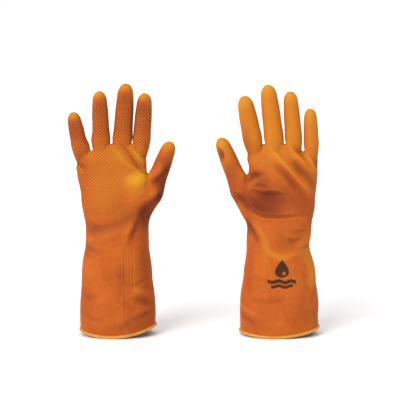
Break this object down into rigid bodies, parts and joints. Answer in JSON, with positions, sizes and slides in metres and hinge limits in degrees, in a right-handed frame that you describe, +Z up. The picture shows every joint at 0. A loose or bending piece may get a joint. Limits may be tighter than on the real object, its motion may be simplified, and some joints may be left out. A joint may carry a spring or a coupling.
{
  "type": "pair of rubber gloves",
  "caption": "Pair of long-cuffed household rubber gloves, upright on rolled rims, one palm out and one back out; hollow, jointed fingers, thumbs and wrists.",
  "frame": {"origin": "on the ground in the middle of the pair, under the rims", "axes": "+Z up along the gloves from rim to fingertips, +X from glove 1 to glove 2, -Y the side that shows the palm of glove 1 and the back of glove 2"},
  "size_m": [0.3002, 0.0586, 0.3054],
  "materials": {
    "rubber": "satin",
    "rolled_rim": "satin",
    "flock_lining": "matte"
  },
  "bodies": {
    "glove_1_cuff": {"glove_1_cuff": "rubber", "glove_1_cuff_bead": "rolled_rim", "glove_1_cuff_lining": "flock_lining"},
    "glove_1_hand": {"glove_1_hand": "rubber", "glove_1_hand_lining": "flock_lining"},
    "glove_1_index_base": {"glove_1_index_base": "rubber"},
    "glove_1_index_middle": {"glove_1_index_middle": "rubber"},
    "glove_1_index_tip": {"glove_1_index_tip": "rubber"},
    "glove_1_middle_base": {"glove_1_middle_base": "rubber"},
    "glove_1_middle_middle": {"glove_1_middle_middle": "rubber"},
    "glove_1_middle_tip": {"glove_1_middle_tip": "rubber"},
    "glove_1_ring_base": {"glove_1_ring_base": "rubber"},
    "glove_1_ring_middle": {"glove_1_ring_middle": "rubber"},
    "glove_1_ring_tip": {"glove_1_ring_tip": "rubber"},
    "glove_1_little_base": {"glove_1_little_base": "rubber"},
    "glove_1_little_middle": {"glove_1_little_middle": "rubber"},
    "glove_1_little_tip": {"glove_1_little_tip": "rubber"},
    "glove_1_thumb_base": {"glove_1_thumb_base": "rubber"},
    "glove_1_thumb_tip": {"glove_1_thumb_tip": "rubber"},
    "glove_2_cuff": {"glove_2_cuff": "rubber", "glove_2_cuff_bead": "rolled_rim", "glove_2_cuff_lining": "flock_lining"},
    "glove_2_hand": {"glove_2_hand": "rubber", "glove_2_hand_lining": "flock_lining"},
    "glove_2_index_base": {"glove_2_index_base": "rubber"},
    "glove_2_index_middle": {"glove_2_index_middle": "rubber"},
    "glove_2_index_tip": {"glove_2_index_tip": "rubber"},
    "glove_2_middle_base": {"glove_2_middle_base": "rubber"},
    "glove_2_middle_middle": {"glove_2_middle_middle": "rubber"},
    "glove_2_middle_tip": {"glove_2_middle_tip": "rubber"},
    "glove_2_ring_base": {"glove_2_ring_base": "rubber"},
    "glove_2_ring_middle": {"glove_2_ring_middle": "rubber"},
    "glove_2_ring_tip": {"glove_2_ring_tip": "rubber"},
    "glove_2_little_base": {"glove_2_little_base": "rubber"},
    "glove_2_little_middle": {"glove_2_little_middle": "rubber"},
    "glove_2_little_tip": {"glove_2_little_tip": "rubber"},
    "glove_2_thumb_base": {"glove_2_thumb_base": "rubber"},
    "glove_2_thumb_tip": {"glove_2_thumb_tip": "rubber"}
  },
  "joints": [
    {"name": "glove_1_wrist_fold", "type": "hinge", "parent": "glove_1_cuff", "child": "glove_1_hand", "pos_m": [-0.0908, 0, 0.128], "axis": [1, 0, 0], "range_deg": [-35, 45], "stiffness_Nm_per_rad": 0.3},
    {"name": "glove_1_index_knuckle_fold", "type": "hinge", "parent": "glove_1_hand", "child": "glove_1_index_base", "pos_m": [-0.06381, -0.00297, 0.23884], "axis": [0.9965, 0, -0.0833], "range_deg": [-15, 60], "stiffness_Nm_per_rad": 0.02},
    {"name": "glove_1_index_middle_fold", "type": "hinge", "parent": "glove_1_index_base", "child": "glove_1_index_middle", "pos_m": [-0.06198, -0.004, 0.26074], "axis": [0.9965, 0, -0.0833], "range_deg": [0, 80], "stiffness_Nm_per_rad": 0.012},
    {"name": "glove_1_index_tip_fold", "type": "hinge", "parent": "glove_1_index_middle", "child": "glove_1_index_tip", "pos_m": [-0.06048, -0.00485, 0.27866], "axis": [0.9965, 0, -0.0833], "range_deg": [0, 50], "stiffness_Nm_per_rad": 0.008},
    {"name": "glove_1_middle_knuckle_fold", "type": "hinge", "parent": "glove_1_hand", "child": "glove_1_middle_base", "pos_m": [-0.08641, -0.003, 0.23986], "axis": [0.9971, 0, -0.0762], "range_deg": [-15, 60], "stiffness_Nm_per_rad": 0.02},
    {"name": "glove_1_middle_middle_fold", "type": "hinge", "parent": "glove_1_middle_base", "child": "glove_1_middle_middle", "pos_m": [-0.08458, -0.00397, 0.26377], "axis": [0.9971, 0, -0.0762], "range_deg": [0, 80], "stiffness_Nm_per_rad": 0.012},
    {"name": "glove_1_middle_tip_fold", "type": "hinge", "parent": "glove_1_middle_middle", "child": "glove_1_middle_tip", "pos_m": [-0.08302, -0.00481, 0.2842], "axis": [0.9971, 0, -0.0762], "range_deg": [0, 50], "stiffness_Nm_per_rad": 0.008},
    {"name": "glove_1_ring_knuckle_fold", "type": "hinge", "parent": "glove_1_hand", "child": "glove_1_ring_base", "pos_m": [-0.1118, -0.00288, 0.23985], "axis": [0.9997, 0, 0.0248], "range_deg": [-15, 60], "stiffness_Nm_per_rad": 0.02},
    {"name": "glove_1_ring_middle_fold", "type": "hinge", "parent": "glove_1_ring_base", "child": "glove_1_ring_middle", "pos_m": [-0.11233, -0.00388, 0.26132], "axis": [0.9997, 0, 0.0248], "range_deg": [0, 80], "stiffness_Nm_per_rad": 0.012},
    {"name": "glove_1_ring_tip_fold", "type": "hinge", "parent": "glove_1_ring_middle", "child": "glove_1_ring_tip", "pos_m": [-0.11278, -0.00472, 0.27929], "axis": [0.9997, 0, 0.0248], "range_deg": [0, 50], "stiffness_Nm_per_rad": 0.008},
    {"name": "glove_1_little_knuckle_fold", "type": "hinge", "parent": "glove_1_hand", "child": "glove_1_little_base", "pos_m": [-0.13696, -0.00266, 0.23081], "axis": [0.9836, 0, 0.1802], "range_deg": [-15, 60], "stiffness_Nm_per_rad": 0.02},
    {"name": "glove_1_little_middle_fold", "type": "hinge", "parent": "glove_1_little_base", "child": "glove_1_little_middle", "pos_m": [-0.13975, -0.00363, 0.24603], "axis": [0.9836, 0, 0.1802], "range_deg": [0, 80], "stiffness_Nm_per_rad": 0.012},
    {"name": "glove_1_little_tip_fold", "type": "hinge", "parent": "glove_1_little_middle", "child": "glove_1_little_tip", "pos_m": [-0.14209, -0.00445, 0.25879], "axis": [0.9836, 0, 0.1802], "range_deg": [0, 50], "stiffness_Nm_per_rad": 0.008},
    {"name": "glove_1_thumb_base_fold", "type": "hinge", "parent": "glove_1_hand", "child": "glove_1_thumb_base", "pos_m": [-0.03928, -0.00606, 0.20334], "axis": [0.8918, -0.239, -0.3841], "range_deg": [-15, 40], "stiffness_Nm_per_rad": 0.02},
    {"name": "glove_1_thumb_tip_fold", "type": "hinge", "parent": "glove_1_thumb_base", "child": "glove_1_thumb_tip", "pos_m": [-0.03348, -0.00817, 0.2181], "axis": [0.8918, -0.239, -0.3841], "range_deg": [0, 60], "stiffness_Nm_per_rad": 0.012},
    {"name": "glove_2_wrist_fold", "type": "hinge", "parent": "glove_2_cuff", "child": "glove_2_hand", "pos_m": [0.1015, 0, 0.128], "axis": [-1, 0, 0], "range_deg": [-35, 45], "stiffness_Nm_per_rad": 0.3},
    {"name": "glove_2_index_knuckle_fold", "type": "hinge", "parent": "glove_2_hand", "child": "glove_2_index_base", "pos_m": [0.07014, 0.00305, 0.23983], "axis": [-0.9801, 0, -0.1984], "range_deg": [-15, 60], "stiffness_Nm_per_rad": 0.02},
    {"name": "glove_2_index_middle_fold", "type": "hinge", "parent": "glove_2_index_base", "child": "glove_2_index_middle", "pos_m": [0.06597, 0.00411, 0.26038], "axis": [-0.9801, 0, -0.1984], "range_deg": [0, 80], "stiffness_Nm_per_rad": 0.012},
    {"name": "glove_2_index_tip_fold", "type": "hinge", "parent": "glove_2_index_middle", "child": "glove_2_index_tip", "pos_m": [0.06271, 0.00493, 0.27654], "axis": [-0.9801, 0, -0.1984], "range_deg": [0, 50], "stiffness_Nm_per_rad": 0.008},
    {"name": "glove_2_middle_knuckle_fold", "type": "hinge", "parent": "glove_2_hand", "child": "glove_2_middle_base", "pos_m": [0.09612, 0.00306, 0.23986], "axis": [-0.9922, 0, -0.1248], "range_deg": [-15, 60], "stiffness_Nm_per_rad": 0.02},
    {"name": "glove_2_middle_middle_fold", "type": "hinge", "parent": "glove_2_middle_base", "child": "glove_2_middle_middle", "pos_m": [0.09319, 0.00402, 0.26315], "axis": [-0.9922, 0, -0.1248], "range_deg": [0, 80], "stiffness_Nm_per_rad": 0.012},
    {"name": "glove_2_middle_tip_fold", "type": "hinge", "parent": "glove_2_middle_middle", "child": "glove_2_middle_tip", "pos_m": [0.09069, 0.00485, 0.28298], "axis": [-0.9922, 0, -0.1248], "range_deg": [0, 50], "stiffness_Nm_per_rad": 0.008},
    {"name": "glove_2_ring_knuckle_fold", "type": "hinge", "parent": "glove_2_hand", "child": "glove_2_ring_base", "pos_m": [0.11991, 0.00294, 0.23984], "axis": [-0.9966, 0, -0.0822], "range_deg": [-15, 60], "stiffness_Nm_per_rad": 0.02},
    {"name": "glove_2_ring_middle_fold", "type": "hinge", "parent": "glove_2_ring_base", "child": "glove_2_ring_middle", "pos_m": [0.11815, 0.00395, 0.26125], "axis": [-0.9966, 0, -0.0822], "range_deg": [0, 80], "stiffness_Nm_per_rad": 0.012},
    {"name": "glove_2_ring_tip_fold", "type": "hinge", "parent": "glove_2_ring_middle", "child": "glove_2_ring_tip", "pos_m": [0.11671, 0.00477, 0.27867], "axis": [-0.9966, 0, -0.0822], "range_deg": [0, 50], "stiffness_Nm_per_rad": 0.008},
    {"name": "glove_2_little_knuckle_fold", "type": "hinge", "parent": "glove_2_hand", "child": "glove_2_little_base", "pos_m": [0.14031, 0.00266, 0.23381], "axis": [-0.9993, 0, -0.0386], "range_deg": [-15, 60], "stiffness_Nm_per_rad": 0.02},
    {"name": "glove_2_little_middle_fold", "type": "hinge", "parent": "glove_2_little_base", "child": "glove_2_little_middle", "pos_m": [0.13971, 0.0036, 0.24927], "axis": [-0.9993, 0, -0.0386], "range_deg": [0, 80], "stiffness_Nm_per_rad": 0.012},
    {"name": "glove_2_little_tip_fold", "type": "hinge", "parent": "glove_2_little_middle", "child": "glove_2_little_tip", "pos_m": [0.13919, 0.00442, 0.26273], "axis": [-0.9993, 0, -0.0386], "range_deg": [0, 50], "stiffness_Nm_per_rad": 0.008},
    {"name": "glove_2_thumb_base_fold", "type": "hinge", "parent": "glove_2_hand", "child": "glove_2_thumb_base", "pos_m": [0.04636, 0.00618, 0.20484], "axis": [-0.8815, 0.2362, -0.4088], "range_deg": [-15, 40], "stiffness_Nm_per_rad": 0.02},
    {"name": "glove_2_thumb_tip_fold", "type": "hinge", "parent": "glove_2_thumb_base", "child": "glove_2_thumb_tip", "pos_m": [0.0401, 0.00808, 0.21944], "axis": [-0.8815, 0.2362, -0.4088], "range_deg": [0, 60], "stiffness_Nm_per_rad": 0.012},
    {"name": "gloves_apart", "type": "slide", "parent": "glove_1_cuff", "child": "glove_2_cuff", "axis": [1, 0, 0], "range_m": [0, 0.1]}
  ],
  "couplings": [
    {"joint": "glove_1_index_tip_fold", "follows": "glove_1_index_middle_fold", "ratio": 0.625},
    {"joint": "glove_1_middle_tip_fold", "follows": "glove_1_middle_middle_fold", "ratio": 0.625},
    {"joint": "glove_1_ring_tip_fold", "follows": "glove_1_ring_middle_fold", "ratio": 0.625},
    {"joint": "glove_1_little_tip_fold", "follows": "glove_1_little_middle_fold", "ratio": 0.625},
    {"joint": "glove_2_index_tip_fold", "follows": "glove_2_index_middle_fold", "ratio": 0.625},
    {"joint": "glove_2_middle_tip_fold", "follows": "glove_2_middle_middle_fold", "ratio": 0.625},
    {"joint": "glove_2_ring_tip_fold", "follows": "glove_2_ring_middle_fold", "ratio": 0.625},
    {"joint": "glove_2_little_tip_fold", "follows": "glove_2_little_middle_fold", "ratio": 0.625}
  ]
}
